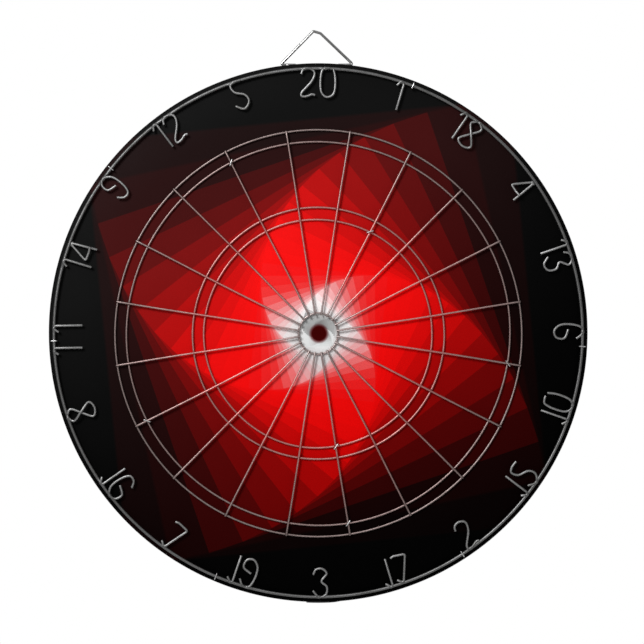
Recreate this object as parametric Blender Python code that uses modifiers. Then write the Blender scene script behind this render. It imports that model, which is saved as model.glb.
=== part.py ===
"""Wire-cage dartboard for hanging on a wall.

A wound fibre disc carries a printed face sheet, a plain back sheet and a thin
steel edge band. A spider of steel wires and a ring of wire numerals are
stapled to the face, and a wire bail swings in two strap eyes on the rim.

Units are metres. The board hangs in the XZ plane with its back on the plane
y = 0 and its face towards -Y. The origin is the middle of the back. Angles
run clockwise from the top, as a player sees the board.
"""

import math

import bmesh
import bpy
from mathutils import Matrix, Vector

MM = 0.001
GAP = 0.3 * MM  # clearance between pieces that touch

# Board
BOARD_RADIUS = 225.5 * MM
BOARD_THICKNESS = 25.4 * MM
BOARD_SIDES = 96
SHEET_THICKNESS = 0.6 * MM

# Edge band, its two ends lapped at the bottom and held by two tacks
BAND_THICKNESS = 0.4 * MM
BAND_LAP_ANGLE = 5.0
BAND_RAMP_ANGLE = 2.0
TACK_HEAD_RADIUS = 2.2 * MM
TACK_HEAD_THICKNESS = 0.7 * MM
TACK_SHANK_RADIUS = 0.7 * MM
TACK_LENGTH = 11.0 * MM
TACK_SPACING = 11.0 * MM

# Spider
SPIDER_WIRE = 1.65 * MM
SPIDER_DROP = 0.8 * MM  # the spider sits a little below the middle of the board
SPIDER_STAND_OFF = 1.1 * MM  # its rings don't lie quite flat on the face
DOUBLE_OUTER_RADIUS = 170.0 * MM
DOUBLE_INNER_RADIUS = 160.2 * MM
TRIPLE_OUTER_RADIUS = 105.2 * MM
TRIPLE_INNER_RADIUS = 95.4 * MM
BULL_RADIUS = 16.8 * MM
SECTORS = 20
SECTOR_ANGLE = 360.0 / SECTORS
SPOKE_INNER_RADIUS = 15.4 * MM
SPOKE_OUTER_RADIUS = 170.4 * MM
SPOKE_SPANS = 4
WIRE_WAVE = 0.35 * MM  # how far a hand-laid wire wanders

# Number ring and its numerals
NUMBERS = (20, 1, 18, 4, 13, 6, 10, 15, 2, 17, 3, 19, 7, 16, 8, 11, 14, 9, 12, 5)
FEET_OUT_NUMBERS = (10, 15, 2, 17, 3, 19, 7, 16)
NUMBER_RING_RADIUS = 220.6 * MM
NUMBER_RING_WIRE = 2.4 * MM
NUMERAL_WIRE = 2.0 * MM
NUMERAL_HEIGHT = 23.8 * MM
NUMERAL_SPACING = 4.4 * MM
DOUBLE_ONE_SPACING = 12.9 * MM
NUMBER_STAND_OFF = 2.3 * MM  # the number ring is held this far off the face
NUMERAL_STEP_FORWARD = 0.6 * MM  # numerals lie this far in front of their ring
NUMBER_SHIFT_UNIT = 0.5 * MM
# Numbers that stand clockwise of the middle of their sector, in shift units
NUMBER_SHIFTS = {1: 3, 18: 1, 4: 2, 6: -2, 10: -3, 15: -1, 2: -2, 3: -3, 19: -4, 7: -5,
                 16: -5, 8: -4, 11: -12, 14: -3, 9: -3, 12: -3, 5: -2}

# Staples
STAPLE_WIRE = 1.0 * MM
STAPLE_LEG = 8.0 * MM
RING_STAPLE_ANGLES = (21.0, 93.0, 146.9, 202.8, 268.2, 308.4)
DOUBLE_STAPLE_ANGLES = (99.0, 171.0, 243.0, 333.0)
TRIPLE_STAPLE_ANGLES = (27.0, 171.0)

# Hanger
BAIL_WIRE = 2.4 * MM
BAIL_AXIS_Y = -9.0 * MM
BAIL_AXIS_Z = 226.4 * MM
BAIL_CENTRE_X = -1.1 * MM
BAIL_FOOT_END_X = 18.0 * MM
BAIL_CORNER_X = 31.0 * MM
BAIL_APEX_X = 3.0 * MM
BAIL_APEX_HEIGHTS = (28.5 * MM, 26.7 * MM)  # left, right
EYE_CENTRE_X = 23.2 * MM
EYE_WIDTH = 5.5 * MM
EYE_STRAP = 0.7 * MM
EYE_LEG = 11.0 * MM

FACE_Y = -BOARD_THICKNESS
RING_Y = FACE_Y - SPIDER_STAND_OFF - SPIDER_WIRE / 2
SPOKE_Y = RING_Y - SPIDER_WIRE - GAP
NUMBER_RING_Y = FACE_Y - NUMBER_STAND_OFF - NUMBER_RING_WIRE / 2
NUMERAL_Y = NUMBER_RING_Y - NUMERAL_STEP_FORWARD
BAND_INNER_RADIUS = BOARD_RADIUS - BAND_THICKNESS
SHEET_RADIUS = BAND_INNER_RADIUS - GAP

# Each numeral is one bent wire. Points are (across, up) in numeral heights, and
# a third value lifts the wire off the face, in wire diameters, where it crosses
# itself.
BENT_STROKES = {
    "1": ((-0.20, 0.33), (-0.10, 0.50), (0.02, 0.48), (0.04, -0.50)),
    "1 feet out": ((0.04, 0.50), (0.02, -0.48), (-0.06, -0.50), (-0.20, -0.34)),
    "4": ((0.22, -0.50), (0.16, 0.50), (-0.27, -0.18), (-0.24, -0.25), (0.02, -0.25, 0.3),
          (0.24, -0.24, 1.25)),
    "7": ((-0.27, 0.46), (-0.14, 0.50), (0.27, 0.45), (-0.08, -0.50), (-0.27, -0.34)),
}
CURVED_STROKES = {
    "0": ((0.20, 0.47), (0.26, 0.18), (0.25, -0.22), (0.16, -0.44), (-0.06, -0.50),
          (-0.23, -0.32), (-0.26, 0.06), (-0.20, 0.42), (-0.08, 0.50), (0.03, 0.50)),
    "2": ((-0.24, 0.30), (-0.16, 0.46), (0.04, 0.50), (0.23, 0.36), (0.14, 0.06),
          (-0.20, -0.32), (-0.22, -0.48), (0.0, -0.46), (0.25, -0.48)),
    "3": ((-0.24, 0.28), (-0.14, 0.46), (0.08, 0.49), (0.23, 0.32), (0.05, 0.05),
          (0.24, -0.14), (0.20, -0.42), (-0.04, -0.50), (-0.25, -0.28)),
    "5": ((0.20, 0.50), (-0.06, 0.50), (-0.22, 0.40), (-0.14, 0.15), (0.18, -0.04),
          (0.25, -0.30), (0.02, -0.50), (-0.25, -0.33)),
    "6": ((0.24, 0.28), (0.08, 0.48), (-0.14, 0.47), (-0.25, 0.16), (-0.24, -0.26),
          (-0.04, -0.49), (0.20, -0.42), (0.23, -0.14), (-0.08, 0.0)),
}


def clear_scene():
    for old in list(bpy.data.objects):
        bpy.data.objects.remove(old)


def make_collection(name):
    group = bpy.data.collections.new(name)
    bpy.context.scene.collection.children.link(group)
    return group


def make_material(name, colour, roughness, metallic):
    material = bpy.data.materials.new(name)
    material.use_nodes = True
    shader = material.node_tree.nodes["Principled BSDF"]
    shader.inputs["Base Color"].default_value = (*colour, 1.0)
    shader.inputs["Roughness"].default_value = roughness
    shader.inputs["Metallic"].default_value = metallic
    return material


clear_scene()
PARTS = make_collection("dartboard")
CUTTERS = make_collection("cutters")

WIRE_STEEL = make_material("wire_steel", (0.62, 0.61, 0.60), 0.35, 1.0)
STAPLE_STEEL = make_material("staple_steel", (0.70, 0.70, 0.70), 0.30, 1.0)
BAIL_STEEL = make_material("bail_steel", (0.80, 0.80, 0.80), 0.15, 1.0)
BAND_STEEL = make_material("black_band", (0.02, 0.02, 0.02), 0.45, 0.0)
PRINTED_FACE = make_material("printed_face", (0.25, 0.02, 0.02), 0.50, 0.0)
BACK_PAPER = make_material("back_paper", (0.42, 0.30, 0.19), 0.80, 0.0)
WOUND_FIBRE = make_material("wound_fibre", (0.50, 0.38, 0.25), 0.90, 0.0)


def on_board(radius, angle, y):
    """A point at a radius and a clockwise angle in degrees from the top."""
    turn = math.radians(angle)
    return Vector((radius * math.sin(turn), y, radius * math.cos(turn)))


def on_spider(radius, angle, y):
    """The same about the middle of the spider."""
    return on_board(radius, angle, y) - Vector((0, 0, SPIDER_DROP))


def mesh_object(name, bm, material, collection=PARTS):
    """A new object from a mesh, smooth but for its sharp edges and its flat ends."""
    mesh = bpy.data.meshes.new(name)
    bm.to_mesh(mesh)
    bm.free()
    mesh.set_sharp_from_angle(angle=math.radians(35))
    for face in mesh.polygons:
        face.use_smooth = len(face.vertices) < 5
    piece = bpy.data.objects.new(name, mesh)
    if material:
        mesh.materials.append(material)
    collection.objects.link(piece)
    return piece


def wire_object(name, points, diameter, material, closed=False, sides=8):
    """A round wire along straight runs between its points, with filled ends."""
    curve = bpy.data.curves.new(name, "CURVE")
    curve.dimensions = "3D"
    curve.bevel_depth = diameter / 2
    curve.bevel_resolution = (sides - 4) // 2
    curve.use_fill_caps = True
    spline = curve.splines.new("POLY")
    spline.points.add(len(points) - 1)
    for knot, point in zip(spline.points, points):
        knot.co = (*point, 1.0)
    spline.use_cyclic_u = closed
    curve.materials.append(material)
    piece = bpy.data.objects.new(name, curve)
    PARTS.objects.link(piece)
    return piece


def as_mesh(piece):
    """Turn a wire into a mesh of the same name, its end caps welded on."""
    bpy.context.view_layer.update()
    evaluated = piece.evaluated_get(bpy.context.evaluated_depsgraph_get())
    mesh = bpy.data.meshes.new_from_object(evaluated)
    name = piece.name
    bm = bmesh.new()
    bm.from_mesh(mesh)
    bmesh.ops.remove_doubles(bm, verts=bm.verts, dist=0.00001)
    bm.to_mesh(mesh)
    bm.free()
    solid = bpy.data.objects.new(name, mesh)
    solid.matrix_world = piece.matrix_world
    bpy.data.objects.remove(piece)
    solid.name = name
    PARTS.objects.link(solid)
    return solid


def joined(name, pieces, collection):
    """One object that holds the meshes of several, which it takes the place of."""
    bm = bmesh.new()
    for piece in pieces:
        bm.from_mesh(piece.data)
        bpy.data.objects.remove(piece)
    return mesh_object(name, bm, None, collection)


def as_cutter(piece):
    piece.display_type = "WIRE"
    piece.hide_render = True


def combine(piece, other, operation):
    """Cut one object with another, or join the other to it."""
    as_cutter(other)
    step = piece.modifiers.new(other.name, "BOOLEAN")
    step.operation = operation
    step.solver = "EXACT"
    step.object = other


def rounded_bends(points, radius, steps):
    """A bent wire: straight runs with a round bend at every inner point."""
    path = [points[0]]
    for before, corner, after in zip(points, points[1:], points[2:]):
        back = before - corner
        ahead = after - corner
        half = back.angle(ahead) / 2
        reach = min(radius / math.tan(half), 0.45 * back.length, 0.45 * ahead.length)
        start = corner + back.normalized() * reach
        end = corner + ahead.normalized() * reach
        for step in range(steps + 1):
            t = step / steps
            path.append(start * (1 - t) ** 2 + corner * 2 * t * (1 - t) + end * t ** 2)
    path.append(points[-1])
    return path


def flowing_curve(points, steps):
    """A smooth curve through every point, with some steps between each two."""
    padded = [points[0] * 2 - points[1], *points, points[-1] * 2 - points[-2]]
    path = []
    for a, b, c, d in zip(padded, padded[1:], padded[2:], padded[3:]):
        for step in range(steps):
            t = step / steps
            path.append(0.5 * (b * 2 + (c - a) * t + (a * 2 - b * 5 + c * 4 - d) * t ** 2
                               + (b * 3 - a - c * 3 + d) * t ** 3))
    path.append(points[-1])
    return path


# ---- Board ----

def disc(name, radius, y_front, y_back, material):
    bm = bmesh.new()
    lie_back = Matrix.Rotation(math.radians(90), 4, "X")
    place = Matrix.Translation((0, (y_front + y_back) / 2, 0)) @ lie_back
    bmesh.ops.create_cone(bm, cap_ends=True, segments=BOARD_SIDES, radius1=radius,
                          radius2=radius, depth=y_back - y_front, matrix=place)
    return mesh_object(name, bm, material)


def band_radius(angle):
    """Middle of the strip, counted along it from its inner end at angle 0."""
    ramp_start = 360.0 - BAND_RAMP_ANGLE - 0.5
    climb = min(max((angle - ramp_start) / BAND_RAMP_ANGLE, 0.0), 1.0)
    middle = BAND_INNER_RADIUS + BAND_THICKNESS / 2
    return middle + climb * (BAND_THICKNESS + GAP)


def edge_band():
    """A steel strip bent round the rim, its outer end lapped over its inner end."""
    first = 180.0 - BAND_LAP_ANGLE / 2
    pitch = 360.0 / BOARD_SIDES
    around = [step * pitch for step in range(BOARD_SIDES - 1)]
    around += [360.0 - BAND_RAMP_ANGLE - 0.5, 359.5, 360.0, 360.0 + BAND_LAP_ANGLE]
    bm = bmesh.new()
    row = [bm.verts.new(on_board(band_radius(a), first + a, FACE_Y)) for a in around]
    edges = [bm.edges.new(pair) for pair in zip(row, row[1:])]
    wall = bmesh.ops.extrude_edge_only(bm, edges=edges)
    far = [part for part in wall["geom"] if isinstance(part, bmesh.types.BMVert)]
    bmesh.ops.translate(bm, verts=far, vec=(0, BOARD_THICKNESS, 0))
    band = mesh_object("edge_band", bm, BAND_STEEL)
    wall = band.modifiers.new("strip", "SOLIDIFY")
    wall.thickness = BAND_THICKNESS
    wall.offset = 0.0
    return band


def band_tack(name, y):
    """A flat-headed tack, driven up into the board through the lap."""
    head_top = TACK_HEAD_THICKNESS
    profile = ((0.0, head_top), (TACK_HEAD_RADIUS * 0.8, head_top),
               (TACK_HEAD_RADIUS, head_top * 0.5), (TACK_HEAD_RADIUS, 0.0),
               (TACK_SHANK_RADIUS, 0.0), (TACK_SHANK_RADIUS, 0.8 * -TACK_LENGTH),
               (0.0, -TACK_LENGTH))
    bm = bmesh.new()
    row = [bm.verts.new((x, 0, z)) for x, z in profile]
    for pair in zip(row, row[1:]):
        bm.edges.new(pair)
    tack = mesh_object(name, bm, STAPLE_STEEL)
    turn = tack.modifiers.new("turned", "SCREW")
    turn.steps = 12
    turn.render_steps = 12
    turn.use_merge_vertices = True
    turn.merge_threshold = 0.00001
    seat = BOARD_RADIUS + GAP + BAND_THICKNESS + GAP
    tack.location = (0, y, -seat)
    tack.rotation_euler = (math.radians(180), 0, 0)
    return tack


# ---- Spider ----

def spider_ring(name, radius, sides, lobes):
    """A closed wire ring that is a little out of round, as bent by hand."""
    points = []
    for step in range(sides):
        angle = 360.0 * step / sides
        wave = WIRE_WAVE * math.sin(math.radians(angle * lobes + 40 * lobes))
        points.append(on_spider(radius + wave, angle, RING_Y))
    return wire_object(name, points, SPIDER_WIRE, WIRE_STEEL, closed=True)


def spoke_wire(index):
    """A straight wire from the bull to just past the double ring."""
    angle = (index - 0.5) * SECTOR_ANGLE
    sideways = on_board(1.0, angle + 90, 0.0)
    points = []
    for step in range(SPOKE_SPANS + 1):
        along = step / SPOKE_SPANS
        radius = SPOKE_INNER_RADIUS + along * (SPOKE_OUTER_RADIUS - SPOKE_INNER_RADIUS)
        wave = WIRE_WAVE * math.sin(math.pi * along) * math.sin(4 * along + 2.4 * index)
        points.append(on_spider(radius, angle, SPOKE_Y) + sideways * wave)
    return wire_object(f"spoke_wire_{index:02d}", points, SPIDER_WIRE, WIRE_STEEL)


# ---- Number ring ----

def eight_points():
    """A wire that crosses itself once, lifted where it passes over."""
    points = []
    for degrees in range(8, 353, 43):
        t = math.radians(degrees)
        width = 0.22 if math.cos(t) > 0 else 0.26
        lift = 1.25 * math.exp(-((degrees - 266) / 30) ** 2)
        points.append(Vector((width * math.sin(2 * t), 0.5 * math.cos(t), lift)))
    return points


def stroke_path(digit, feet_out, steps):
    """The bent path of one numeral, in numeral heights."""
    if digit == "8":
        return flowing_curve(eight_points(), steps)
    if digit == "9":
        return [Vector((-p.x, -p.y, p.z)) for p in stroke_path("6", False, steps)]
    key = "1 feet out" if digit == "1" and feet_out else digit
    if key in BENT_STROKES:
        corners = [Vector((*p, 0.0)[:3]) for p in BENT_STROKES[key]]
        return rounded_bends(corners, 0.04, steps)
    return flowing_curve([Vector((*p, 0.0)) for p in CURVED_STROKES[digit]], steps)


def number_paths(number, sector):
    """Wire paths of one number's digits, side by side and centred on its sector."""
    feet_out = number in FEET_OUT_NUMBERS
    strokes = [stroke_path(digit, feet_out, 2) for digit in str(number)]
    spacing = DOUBLE_ONE_SPACING if number == 11 else NUMERAL_SPACING
    widths = [(max(p.x for p in s) - min(p.x for p in s)) * NUMERAL_HEIGHT for s in strokes]
    facing = -1.0 if feet_out else 1.0
    shift = facing * NUMBER_SHIFTS.get(number, 0) * NUMBER_SHIFT_UNIT
    across = shift - (sum(widths) + spacing * (len(strokes) - 1)) / 2
    angle = sector * SECTOR_ANGLE
    up = on_board(facing, angle, 0.0)
    right = on_board(facing, angle + 90, 0.0)
    middle = on_board(NUMBER_RING_RADIUS - NUMERAL_HEIGHT / 2, angle, NUMERAL_Y)
    forward = Vector((0, -1, 0))
    paths = []
    for stroke, width in zip(strokes, widths):
        left = min(p.x for p in stroke) * NUMERAL_HEIGHT
        paths.append([middle + right * (across - left + p.x * NUMERAL_HEIGHT)
                      + up * (p.y * NUMERAL_HEIGHT) + forward * (p.z * NUMERAL_WIRE)
                      for p in stroke])
        across += width + spacing
    return paths


def number_ring():
    """The wire ring with every numeral welded to it."""
    circle = [on_board(NUMBER_RING_RADIUS, 360.0 * step / BOARD_SIDES, NUMBER_RING_Y)
              for step in range(BOARD_SIDES)]
    ring = as_mesh(wire_object("number_ring", circle, NUMBER_RING_WIRE, WIRE_STEEL,
                               closed=True, sides=6))
    digits = []
    for sector, number in enumerate(NUMBERS):
        for path in number_paths(number, sector):
            digits.append(as_mesh(wire_object("digit", path, NUMERAL_WIRE, WIRE_STEEL,
                                              sides=6)))
    combine(ring, joined("numerals", digits, CUTTERS), "UNION")
    return ring


# ---- Staples ----

def staple(name, centre, along, half_span, crown_y):
    """A wire staple: a crown over the wires and two legs into the board."""
    tip_y = FACE_Y + STAPLE_LEG
    corners = [centre - along * half_span + Vector((0, tip_y, 0)),
               centre - along * half_span + Vector((0, crown_y, 0)),
               centre + along * half_span + Vector((0, crown_y, 0)),
               centre + along * half_span + Vector((0, tip_y, 0))]
    return wire_object(name, rounded_bends(corners, 0.5 * MM, 2), STAPLE_WIRE, STAPLE_STEEL)


def staple_places():
    """Name, centre, crown direction, half span and crown depth of every staple."""
    reach = STAPLE_WIRE / 2 + GAP
    half = NUMBER_RING_WIRE / 2 + STAPLE_WIRE / 2 + 2 * GAP
    crown = NUMBER_RING_Y - NUMBER_RING_WIRE / 2 - reach
    for index, angle in enumerate(RING_STAPLE_ANGLES, 1):
        yield (f"number_ring_staple_{index}", on_board(NUMBER_RING_RADIUS, angle, 0),
               on_board(1.0, angle, 0), half, crown)
    crown = SPOKE_Y - SPIDER_WIRE / 2 - reach
    half = math.sqrt(2) * (SPIDER_WIRE / 2 + STAPLE_WIRE / 2 + 2 * GAP)
    crossings = [(DOUBLE_INNER_RADIUS, angle) for angle in DOUBLE_STAPLE_ANGLES]
    crossings += [(TRIPLE_INNER_RADIUS, angle) for angle in TRIPLE_STAPLE_ANGLES]
    for index, (radius, angle) in enumerate(crossings, 1):
        yield (f"spider_staple_{index}", on_spider(radius, angle, 0),
               on_board(1.0, angle + 45, 0), half, crown)


def add_box(bm, centre, size, turn):
    """Add a box to a mesh, turned clockwise about Y by an angle in degrees."""
    spin = Matrix.Rotation(math.radians(turn), 4, "Y")
    place = Matrix.Translation(centre) @ spin @ Matrix.Diagonal((*size, 1.0))
    bmesh.ops.create_cube(bm, size=1.0, matrix=place)


def staple_holes():
    """Square holes, a little wider than the wire, for every staple's legs."""
    depth = STAPLE_LEG + 2 * MM
    width = STAPLE_WIRE + 2 * GAP
    bm = bmesh.new()
    for _, centre, along, half, _ in staple_places():
        turn = math.degrees(math.atan2(along.x, along.z))
        for side in (-1, 1):
            middle = centre + along * (side * half) + Vector((0, FACE_Y + depth / 2 - MM, 0))
            add_box(bm, middle, (width, depth, width), turn)
    return mesh_object("staple_holes", bm, None, CUTTERS)


def tack_holes():
    """Holes for the two band tacks, through the lap and into the board."""
    bm = bmesh.new()
    length = TACK_LENGTH + 3 * MM
    for y in tack_rows():
        place = Matrix.Translation((0, y, -BOARD_RADIUS + length / 2 - 2 * MM))
        bmesh.ops.create_cone(bm, cap_ends=True, segments=12, matrix=place, depth=length,
                              radius1=TACK_SHANK_RADIUS + GAP, radius2=TACK_SHANK_RADIUS + GAP)
    return mesh_object("tack_holes", bm, None, CUTTERS)


def tack_rows():
    middle = -BOARD_THICKNESS / 2
    return (middle - TACK_SPACING / 2, middle + TACK_SPACING / 2)


# ---- Hanger ----

def hanger_bail():
    """A triangle of wire whose feet turn inwards through the eyes."""
    left_apex, right_apex = BAIL_APEX_HEIGHTS
    corners = [Vector((-BAIL_FOOT_END_X, 0, 0)), Vector((-BAIL_CORNER_X, 0, 0)),
               Vector((-BAIL_APEX_X, 0, left_apex)), Vector((BAIL_APEX_X, 0, right_apex)),
               Vector((BAIL_CORNER_X, 0, 0)), Vector((BAIL_FOOT_END_X, 0, 0))]
    bail = wire_object("hanger_bail", rounded_bends(corners, 1.6 * MM, 4), BAIL_WIRE, BAIL_STEEL)
    bail.location = (BAIL_CENTRE_X, BAIL_AXIS_Y, BAIL_AXIS_Z)
    return bail


def eye_half_widths():
    """Inner and outer half width of a strap eye, which clears the bail's foot."""
    inner = BAIL_WIRE / 2 + GAP
    return inner, inner + EYE_STRAP


def eye_places():
    return BAIL_CENTRE_X - EYE_CENTRE_X, BAIL_CENTRE_X + EYE_CENTRE_X


def hanger_eye(name, x):
    """A strap bent over the bail's foot, with both legs let into the rim."""
    inner, outer = eye_half_widths()
    outline = [(-outer, -EYE_LEG), (-inner, -EYE_LEG)]
    for step in range(7):
        turn = math.radians(180 - 30 * step)
        outline.append((inner * math.cos(turn), inner * math.sin(turn)))
    outline += [(inner, -EYE_LEG), (outer, -EYE_LEG)]
    for step in range(7):
        turn = math.radians(30 * step)
        outline.append((outer * math.cos(turn), outer * math.sin(turn)))
    curve = bpy.data.curves.new(name, "CURVE")
    curve.dimensions = "2D"
    curve.fill_mode = "BOTH"
    curve.extrude = EYE_WIDTH / 2
    spline = curve.splines.new("POLY")
    spline.points.add(len(outline) - 1)
    for knot, (across, up) in zip(spline.points, outline):
        knot.co = (across, up, 0.0, 1.0)
    spline.use_cyclic_u = True
    curve.materials.append(BAIL_STEEL)
    eye = bpy.data.objects.new(name, curve)
    eye.location = (x, BAIL_AXIS_Y, BAIL_AXIS_Z)
    eye.rotation_euler = (math.radians(90), 0, math.radians(90))
    PARTS.objects.link(eye)
    return eye


def eye_slots():
    """Slots through the band and into the board for the eyes' legs."""
    inner, outer = eye_half_widths()
    height = EYE_LEG + 1 * MM
    bm = bmesh.new()
    for x in eye_places():
        for side in (-1, 1):
            y = BAIL_AXIS_Y + side * (inner + outer) / 2
            size = (EYE_WIDTH + 2 * GAP, EYE_STRAP + 2 * GAP, height)
            add_box(bm, Vector((x, y, BAIL_AXIS_Z - height / 2)), size, 0)
    return mesh_object("eye_slots", bm, None, CUTTERS)


# ---- The whole board ----

def build_board():
    core = disc("wound_core", SHEET_RADIUS, FACE_Y + SHEET_THICKNESS + GAP,
                -SHEET_THICKNESS - GAP, WOUND_FIBRE)
    face = disc("face_sheet", SHEET_RADIUS, FACE_Y, FACE_Y + SHEET_THICKNESS, PRINTED_FACE)
    disc("back_sheet", SHEET_RADIUS, -SHEET_THICKNESS, 0.0, BACK_PAPER)
    band = edge_band()
    legs, nails, slots = staple_holes(), tack_holes(), eye_slots()
    combine(core, legs, "DIFFERENCE")
    combine(face, legs, "DIFFERENCE")
    for piece in (core, band):
        combine(piece, nails, "DIFFERENCE")
        combine(piece, slots, "DIFFERENCE")
    front, back = tack_rows()
    band_tack("band_tack_front", front)
    band_tack("band_tack_back", back)


def build_spider():
    spider_ring("double_outer_ring", DOUBLE_OUTER_RADIUS, 72, 3)
    spider_ring("double_inner_ring", DOUBLE_INNER_RADIUS, 72, 4)
    spider_ring("triple_outer_ring", TRIPLE_OUTER_RADIUS, 60, 3)
    spider_ring("triple_inner_ring", TRIPLE_INNER_RADIUS, 60, 5)
    spider_ring("bull_ring", BULL_RADIUS, 28, 2)
    for index in range(1, SECTORS + 1):
        spoke_wire(index)


def build_staples():
    for name, centre, along, half, crown in staple_places():
        staple(name, centre, along, half, crown)


def build_hanger():
    hanger_bail()
    left, right = eye_places()
    hanger_eye("hanger_eye_left", left)
    hanger_eye("hanger_eye_right", right)


build_board()
build_spider()
number_ring()
build_staples()
build_hanger()
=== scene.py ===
import math
import bpy
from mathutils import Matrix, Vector


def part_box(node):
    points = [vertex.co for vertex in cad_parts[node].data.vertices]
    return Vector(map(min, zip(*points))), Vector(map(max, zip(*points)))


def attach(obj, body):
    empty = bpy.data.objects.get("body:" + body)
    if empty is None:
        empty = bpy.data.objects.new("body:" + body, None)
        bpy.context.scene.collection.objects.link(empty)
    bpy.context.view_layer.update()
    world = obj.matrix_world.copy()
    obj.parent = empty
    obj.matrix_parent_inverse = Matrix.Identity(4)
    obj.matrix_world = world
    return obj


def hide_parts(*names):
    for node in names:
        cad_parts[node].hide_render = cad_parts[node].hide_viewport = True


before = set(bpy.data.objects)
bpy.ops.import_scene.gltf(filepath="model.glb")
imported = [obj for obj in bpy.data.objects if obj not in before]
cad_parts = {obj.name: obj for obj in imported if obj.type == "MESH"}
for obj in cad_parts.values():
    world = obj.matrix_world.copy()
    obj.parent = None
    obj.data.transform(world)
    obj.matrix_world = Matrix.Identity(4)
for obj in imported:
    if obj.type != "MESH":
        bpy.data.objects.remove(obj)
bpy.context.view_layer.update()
mm = 0.001
gap = 0.3 * mm  # what touching pieces keep between them
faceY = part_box("face_sheet")[0].y
print("frame loaded:", len(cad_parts), "nodes")


# small tools that every piece uses

def leaveEdit():
    if bpy.context.object and bpy.context.object.mode != "OBJECT":
        bpy.ops.object.mode_set(mode="OBJECT")


def pick(*chosen):
    leaveEdit()
    bpy.ops.object.select_all(action="DESELECT")
    for piece in chosen:
        piece.select_set(True)
    if chosen:
        bpy.context.view_layer.objects.active = chosen[0]


def newest(name):
    piece = bpy.context.object
    piece.name = name
    piece.data.name = name
    return piece


def fixPlace(piece):
    pick(piece)
    bpy.ops.object.transform_apply(location=True, rotation=True, scale=True)


def applyStep(piece, kind, **settings):
    pick(piece)
    step = piece.modifiers.new(kind.lower(), kind)
    for key, value in settings.items():
        setattr(step, key, value)
    bpy.ops.object.modifier_apply(modifier=step.name)


def cleanShell(piece):
    pick(piece)
    bpy.ops.object.mode_set(mode="EDIT")
    bpy.ops.mesh.select_all(action="SELECT")
    bpy.ops.mesh.remove_doubles(threshold=0.000002)
    bpy.ops.mesh.normals_make_consistent(inside=False)
    bpy.ops.object.mode_set(mode="OBJECT")


def smoothShade(piece, angle=35):
    pick(piece)
    bpy.ops.object.shade_smooth_by_angle(angle=math.radians(angle))


def selectFaces(piece, test):
    # leaves the piece in edit mode with the faces that pass the test selected
    pick(piece)
    bpy.ops.object.mode_set(mode="EDIT")
    bpy.ops.mesh.select_mode(type="FACE")
    bpy.ops.mesh.select_all(action="DESELECT")
    bpy.ops.object.mode_set(mode="OBJECT")
    for face in piece.data.polygons:
        face.select = test(face)
    bpy.ops.object.mode_set(mode="EDIT")


def joinPieces(name, parts):
    pick(*parts)
    bpy.ops.object.join()
    return newest(name)


def settle(piece, body, slotName, finish, *nodes):
    # last thing done to a piece: its finish, its body and the CAD nodes it stands for
    piece.data.materials.clear()
    piece.data.materials.append(finish)
    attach(piece, body)
    if nodes:
        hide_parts(*nodes)


def onBoard(radius, angle, y):
    # a clockwise angle in degrees from the top, as a player sees the board
    turn = math.radians(angle)
    return Vector((radius * math.sin(turn), y, radius * math.cos(turn)))


def bendWire(name, points, wire, closed=False, roundness=4, tip=0.25):
    # a round wire along its points; an open one gets its two cut ends eased
    pick()
    bpy.ops.curve.primitive_nurbs_path_add(radius=1.0)
    piece = newest(name)
    path = piece.data
    path.splines.clear()
    run = path.splines.new("POLY")
    run.points.add(len(points) - 1)
    for knot, point in zip(run.points, points):
        knot.co = (*point, 1.0)
    run.use_cyclic_u = closed
    path.bevel_depth = wire / 2
    path.bevel_resolution = roundness
    path.use_fill_caps = not closed
    bpy.ops.object.convert(target="MESH")
    piece = newest(name)
    cleanShell(piece)
    if not closed and tip:
        applyStep(piece, "BEVEL", limit_method="ANGLE", angle_limit=math.radians(60),
                  width=tip * wire / 2, segments=2)
    smoothShade(piece, 50)
    return piece


def roundBends(points, radius, steps):
    # straight runs with a round bend at every inner point
    path = [points[0]]
    for before, corner, after in zip(points, points[1:], points[2:]):
        back = before - corner
        ahead = after - corner
        half = back.angle(ahead) / 2
        reach = min(radius / math.tan(half), 0.45 * back.length, 0.45 * ahead.length)
        start = corner + back.normalized() * reach
        end = corner + ahead.normalized() * reach
        for step in range(steps + 1):
            t = step / steps
            path.append(start * (1 - t) ** 2 + corner * 2 * t * (1 - t) + end * t ** 2)
    path.append(points[-1])
    return path


def flowThrough(points, steps):
    # a smooth curve through every point
    padded = [points[0] * 2 - points[1], *points, points[-1] * 2 - points[-2]]
    path = []
    for a, b, c, d in zip(padded, padded[1:], padded[2:], padded[3:]):
        for step in range(steps):
            t = step / steps
            path.append(0.5 * (b * 2 + (c - a) * t + (a * 2 - b * 5 + c * 4 - d) * t ** 2
                               + (b * 3 - a - c * 3 + d) * t ** 3))
    path.append(points[-1])
    return path


# helpers that lay out nodes

def feed(tree, socket, value):
    if isinstance(value, bpy.types.NodeSocket):
        tree.links.new(value, socket)
    else:
        socket.default_value = value


def addNode(tree, kind, inputs=None, **settings):
    node = tree.nodes.new(kind)
    for key, value in settings.items():
        setattr(node, key, value)
    for key, value in (inputs or {}).items():
        feed(tree, node.inputs[key], value)
    return node


def calc(tree, operation, first, second=0.0, third=0.0, clamp=False):
    node = addNode(tree, "ShaderNodeMath", {0: first, 1: second, 2: third},
                   operation=operation, use_clamp=clamp)
    return node.outputs[0]


def noise(tree, vector, scale, detail=3.0, rough=0.5):
    node = addNode(tree, "ShaderNodeTexNoise",
                   {"Vector": vector, "Scale": scale, "Detail": detail, "Roughness": rough})
    return node.outputs["Fac"]


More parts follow.
